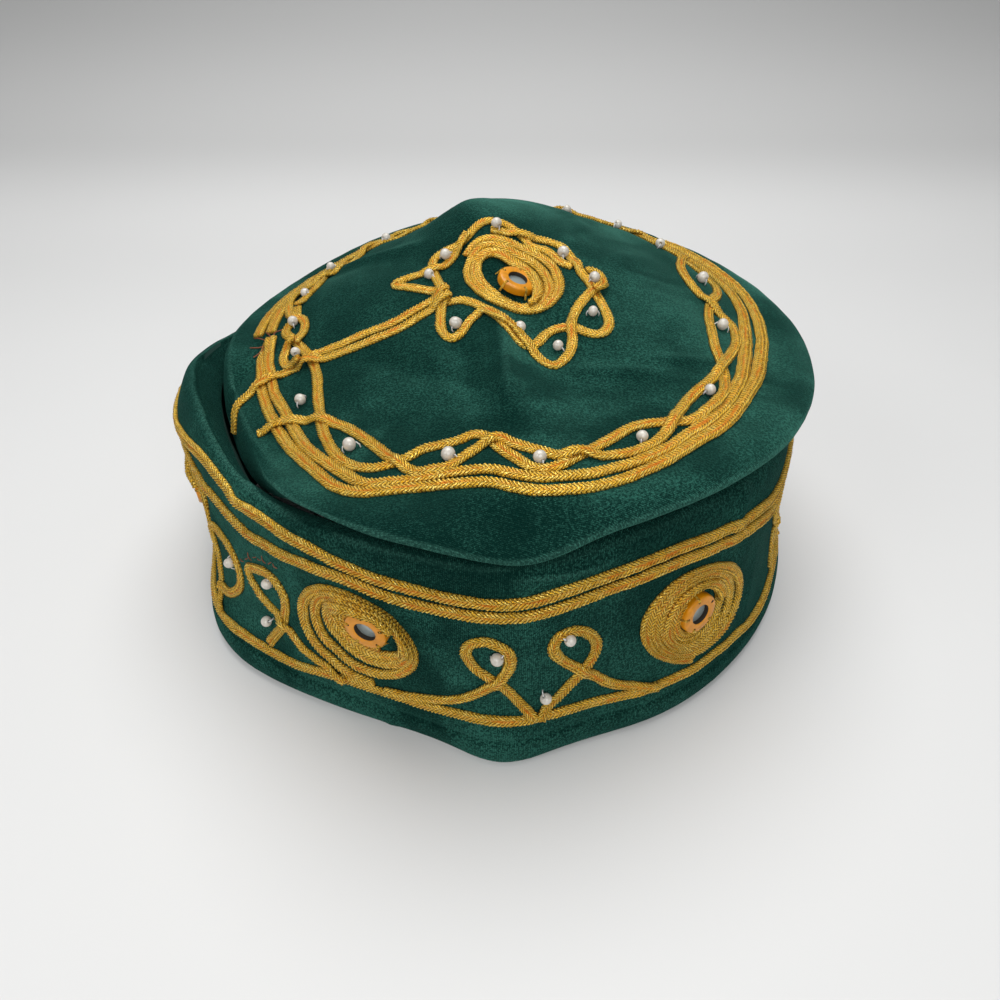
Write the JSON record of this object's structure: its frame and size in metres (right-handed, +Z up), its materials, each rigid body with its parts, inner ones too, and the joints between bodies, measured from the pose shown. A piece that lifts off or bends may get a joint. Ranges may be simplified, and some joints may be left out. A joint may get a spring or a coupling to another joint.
{
  "type": "pillbox hat",
  "caption": "Velvet pillbox hat with a soft tucked crown, couched gold braid and small sewn mirrors.",
  "frame": {"origin": "centre of the hat's outline on the surface that its hem stands on", "axes": "+Z up from the hem to the crown, -Y to the front of the hat, +X to the right seen from the front"},
  "size_m": [0.1892, 0.1934, 0.1005],
  "materials": {
    "velvet": "matte",
    "gold_braid": "satin",
    "gold_plastic": "gloss",
    "mirror_glass": "mirror"
  },
  "bodies": {
    "root": {"base_braid": "gold_braid", "coil_braid_1": "gold_braid", "coil_braid_2": "gold_braid", "coil_braid_3": "gold_braid", "coil_braid_4": "gold_braid", "coil_braid_5": "gold_braid", "coil_braid_6": "gold_braid", "coil_braid_7": "gold_braid", "crown": "velvet", "crown_coil_braid": "gold_braid", "crown_flower_braid": "gold_braid", "crown_ring_braid": "gold_braid", "crown_tail_braid": "gold_braid", "loop_braid_left_1": "gold_braid", "loop_braid_left_2": "gold_braid", "loop_braid_left_3": "gold_braid", "loop_braid_left_4": "gold_braid", "loop_braid_left_5": "gold_braid", "loop_braid_left_6": "gold_braid", "loop_braid_left_7": "gold_braid", "loop_braid_right_1": "gold_braid", "loop_braid_right_2": "gold_braid", "loop_braid_right_3": "gold_braid", "loop_braid_right_4": "gold_braid", "loop_braid_right_5": "gold_braid", "loop_braid_right_6": "gold_braid", "loop_braid_right_7": "gold_braid", "mirror_glass_1": "mirror_glass", "mirror_glass_2": "mirror_glass", "mirror_glass_3": "mirror_glass", "mirror_glass_4": "mirror_glass", "mirror_glass_5": "mirror_glass", "mirror_glass_6": "mirror_glass", "mirror_glass_7": "mirror_glass", "mirror_glass_8": "mirror_glass", "mirror_rim_1": "gold_plastic", "mirror_rim_2": "gold_plastic", "mirror_rim_3": "gold_plastic", "mirror_rim_4": "gold_plastic", "mirror_rim_5": "gold_plastic", "mirror_rim_6": "gold_plastic", "mirror_rim_7": "gold_plastic", "mirror_rim_8": "gold_plastic", "side_band": "velvet", "stripe_braid_lower": "gold_braid", "stripe_braid_upper": "gold_braid"}
  },
  "joints": []
}
